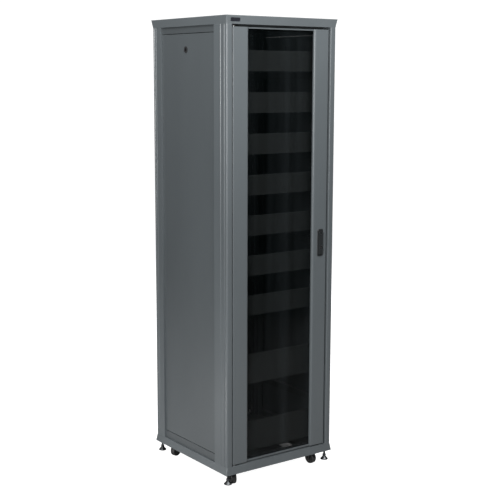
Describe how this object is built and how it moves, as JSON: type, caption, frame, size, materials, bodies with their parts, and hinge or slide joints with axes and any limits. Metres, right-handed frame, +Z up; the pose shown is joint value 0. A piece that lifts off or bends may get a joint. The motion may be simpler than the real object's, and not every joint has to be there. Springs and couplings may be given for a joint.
{
  "type": "network server rack cabinet",
  "caption": "Floor-standing 19 inch rack cabinet with a smoked glass front door, swing handle, lift-off sides, vented rear door, roof fans, casters and levelling feet.",
  "frame": {"origin": "on the floor under the centre of the cabinet", "axes": "+Z up, -Y out of the glass front door, -X towards its hinges"},
  "size_m": [0.6, 0.6, 2.055],
  "materials": {
    "frame_paint": "satin fine texture",
    "cap_paint": "satin fine texture",
    "strip_paint": "satin fine texture",
    "inner_paint": "matt powder coat",
    "rail_paint": "matt powder coat",
    "blank_paint": "satin powder coat",
    "screw_steel": "zinc plated",
    "door_paint": "satin fine texture",
    "rear_paint": "satin fine texture",
    "side_paint": "satin fine texture",
    "smoked_glass": "smoked, polished",
    "seal_rubber": "matt",
    "bush_plastic": "matt nylon",
    "lug_steel": "zinc plated",
    "handle_body": "satin black",
    "lever_plastic": "satin black",
    "lock_chrome": "polished",
    "cam_black": "black zinc plated",
    "barrel_black": "satin",
    "badge_plastic": "gloss",
    "brush_bristle": "bristle",
    "fork_steel": "black coated",
    "wheel_tread": "moulded nylon",
    "foot_metal": "black zinc plated",
    "fan_plastic": "moulded",
    "guard_steel": "zinc plated"
  },
  "bodies": {
    "frame": {"posts_front": "frame_paint", "posts_rear": "frame_paint", "bottom_frame": "inner_paint", "top_frame": "inner_paint", "roof_fascia": "cap_paint", "base_plinth": "cap_paint", "roof_panel": "cap_paint", "cable_brush": "brush_bristle", "floor_panel": "inner_paint", "cover_guides": "inner_paint", "side_strips": "strip_paint", "rack_rails_front": "rail_paint", "rack_rails_rear": "rail_paint", "rail_braces": "inner_paint", "blank_panels_2u": "blank_paint", "blank_panels_3u": "blank_paint", "panel_screws": "screw_steel", "cage_nuts": "screw_steel", "hinge_lugs": "lug_steel", "badge_plate": "badge_plastic", "caster_plates": "lug_steel", "leveller_blocks": "lug_steel", "fan_guards": "guard_steel", "fan_housings": "fan_plastic"},
    "floor_cover": {"floor_cable_cover": "inner_paint"},
    "front_door": {"door_stile_hinge": "door_paint", "door_stile_lock": "door_paint", "door_rails": "door_paint", "door_glass": "smoked_glass", "door_seals": "seal_rubber", "door_bushes": "bush_plastic", "handle_base": "handle_body"},
    "handle_rotor": {"handle_rotor": "handle_body", "latch_cam": "lug_steel"},
    "handle_lever": {"handle_lever": "lever_plastic"},
    "lock_plug": {"lock_plug": "lock_chrome"},
    "rear_door": {"rear_door": "rear_paint", "rear_bushes": "bush_plastic", "rear_lock_barrel": "barrel_black"},
    "rear_cam": {"rear_lock_cam": "cam_black"},
    "side_panel_left": {"side_panel_left": "side_paint", "side_lock_barrel_left": "barrel_black"},
    "side_cam_left": {"side_lock_cam_left": "cam_black"},
    "side_panel_right": {"side_panel_right": "side_paint", "side_lock_barrel_right": "barrel_black"},
    "side_cam_right": {"side_lock_cam_right": "cam_black"},
    "fan_impeller_left": {"fan_impeller_left": "fan_plastic"},
    "fan_impeller_right": {"fan_impeller_right": "fan_plastic"},
    "caster_fork_front_left": {"caster_fork_front_left": "fork_steel"},
    "caster_wheel_front_left": {"caster_wheel_front_left": "wheel_tread"},
    "caster_fork_front_right": {"caster_fork_front_right": "fork_steel"},
    "caster_wheel_front_right": {"caster_wheel_front_right": "wheel_tread"},
    "caster_fork_rear_left": {"caster_fork_rear_left": "fork_steel"},
    "caster_wheel_rear_left": {"caster_wheel_rear_left": "wheel_tread"},
    "caster_fork_rear_right": {"caster_fork_rear_right": "fork_steel"},
    "caster_wheel_rear_right": {"caster_wheel_rear_right": "wheel_tread"},
    "leveller_front_left": {"leveller_front_left": "foot_metal"},
    "leveller_front_right": {"leveller_front_right": "foot_metal"},
    "leveller_rear_left": {"leveller_rear_left": "foot_metal"},
    "leveller_rear_right": {"leveller_rear_right": "foot_metal"}
  },
  "joints": [
    {"name": "front_door_hinge", "type": "hinge", "parent": "frame", "child": "front_door", "pos_m": [-0.253, -0.2845, 1.057], "axis": [0, 0, -1], "range_deg": [0, 120]},
    {"name": "handle_turn", "type": "hinge", "parent": "front_door", "child": "handle_rotor", "pos_m": [0.222, -0.29, 1.106], "axis": [0, 1, 0], "range_deg": [0, 90]},
    {"name": "lever_lift", "type": "hinge", "parent": "handle_rotor", "child": "handle_lever", "pos_m": [0.222, -0.2972, 1.106], "axis": [-1, 0, 0], "range_deg": [0, 35]},
    {"name": "front_key_turn", "type": "hinge", "parent": "handle_lever", "child": "lock_plug", "pos_m": [0.222, -0.2972, 1.04], "axis": [0, 1, 0], "range_deg": [0, 90]},
    {"name": "rear_door_hinge", "type": "hinge", "parent": "frame", "child": "rear_door", "pos_m": [0.253, 0.2845, 1.057], "axis": [0, 0, -1], "range_deg": [0, 120]},
    {"name": "rear_key_turn", "type": "hinge", "parent": "rear_door", "child": "rear_cam", "pos_m": [-0.222, 0.291, 1.106], "axis": [0, 1, 0], "range_deg": [0, 90]},
    {"name": "side_panel_left_off", "type": "slide", "parent": "frame", "child": "side_panel_left", "axis": [-1, 0, 0], "range_m": [0, 0.3]},
    {"name": "side_left_key_turn", "type": "hinge", "parent": "side_panel_left", "child": "side_cam_left", "pos_m": [-0.288, 0.028, 1.919], "axis": [-1, 0, 0], "range_deg": [0, 90]},
    {"name": "side_panel_right_off", "type": "slide", "parent": "frame", "child": "side_panel_right", "axis": [1, 0, 0], "range_m": [0, 0.3]},
    {"name": "side_right_key_turn", "type": "hinge", "parent": "side_panel_right", "child": "side_cam_right", "pos_m": [0.288, 0.028, 1.919], "axis": [1, 0, 0], "range_deg": [0, 90]},
    {"name": "floor_cover_slide", "type": "slide", "parent": "frame", "child": "floor_cover", "axis": [1, 0, 0], "range_m": [-0.09, 0.063]},
    {"name": "fan_left_spin", "type": "hinge", "parent": "frame", "child": "fan_impeller_left", "pos_m": [-0.07, 0.04, 2.0395], "axis": [0, 0, 1], "continuous": true},
    {"name": "fan_right_spin", "type": "hinge", "parent": "frame", "child": "fan_impeller_right", "pos_m": [0.07, 0.04, 2.0395], "axis": [0, 0, 1], "continuous": true},
    {"name": "caster_front_left_swivel", "type": "hinge", "parent": "frame", "child": "caster_fork_front_left", "pos_m": [-0.22, -0.22, 0.06], "axis": [0, 0, 1], "continuous": true},
    {"name": "caster_front_left_roll", "type": "hinge", "parent": "caster_fork_front_left", "child": "caster_wheel_front_left", "pos_m": [-0.2268, -0.24092, 0.027], "axis": [-0.9511, 0.309, 0], "continuous": true},
    {"name": "caster_front_right_swivel", "type": "hinge", "parent": "frame", "child": "caster_fork_front_right", "pos_m": [0.22, -0.22, 0.06], "axis": [0, 0, 1], "continuous": true},
    {"name": "caster_front_right_roll", "type": "hinge", "parent": "caster_fork_front_right", "child": "caster_wheel_front_right", "pos_m": [0.22268, -0.24184, 0.027], "axis": [-0.9925, -0.1219, 0], "continuous": true},
    {"name": "caster_rear_left_swivel", "type": "hinge", "parent": "frame", "child": "caster_fork_rear_left", "pos_m": [-0.22, 0.22, 0.06], "axis": [0, 0, 1], "continuous": true},
    {"name": "caster_rear_left_roll", "type": "hinge", "parent": "caster_fork_rear_left", "child": "caster_wheel_rear_left", "pos_m": [-0.24115, 0.21394, 0.027], "axis": [-0.2756, 0.9613, 0], "continuous": true},
    {"name": "caster_rear_right_swivel", "type": "hinge", "parent": "frame", "child": "caster_fork_rear_right", "pos_m": [0.22, 0.22, 0.06], "axis": [0, 0, 1], "continuous": true},
    {"name": "caster_rear_right_roll", "type": "hinge", "parent": "caster_fork_rear_right", "child": "caster_wheel_rear_right", "pos_m": [0.23905, 0.231, 0.027], "axis": [0.5, -0.866, 0], "continuous": true},
    {"name": "leveller_front_left_screw", "type": "slide", "parent": "frame", "child": "leveller_front_left", "axis": [0, 0, -1], "range_m": [-0.01, 0.018]},
    {"name": "leveller_front_right_screw", "type": "slide", "parent": "frame", "child": "leveller_front_right", "axis": [0, 0, -1], "range_m": [-0.01, 0.018]},
    {"name": "leveller_rear_left_screw", "type": "slide", "parent": "frame", "child": "leveller_rear_left", "axis": [0, 0, -1], "range_m": [-0.01, 0.018]},
    {"name": "leveller_rear_right_screw", "type": "slide", "parent": "frame", "child": "leveller_rear_right", "axis": [0, 0, -1], "range_m": [-0.01, 0.018]}
  ]
}
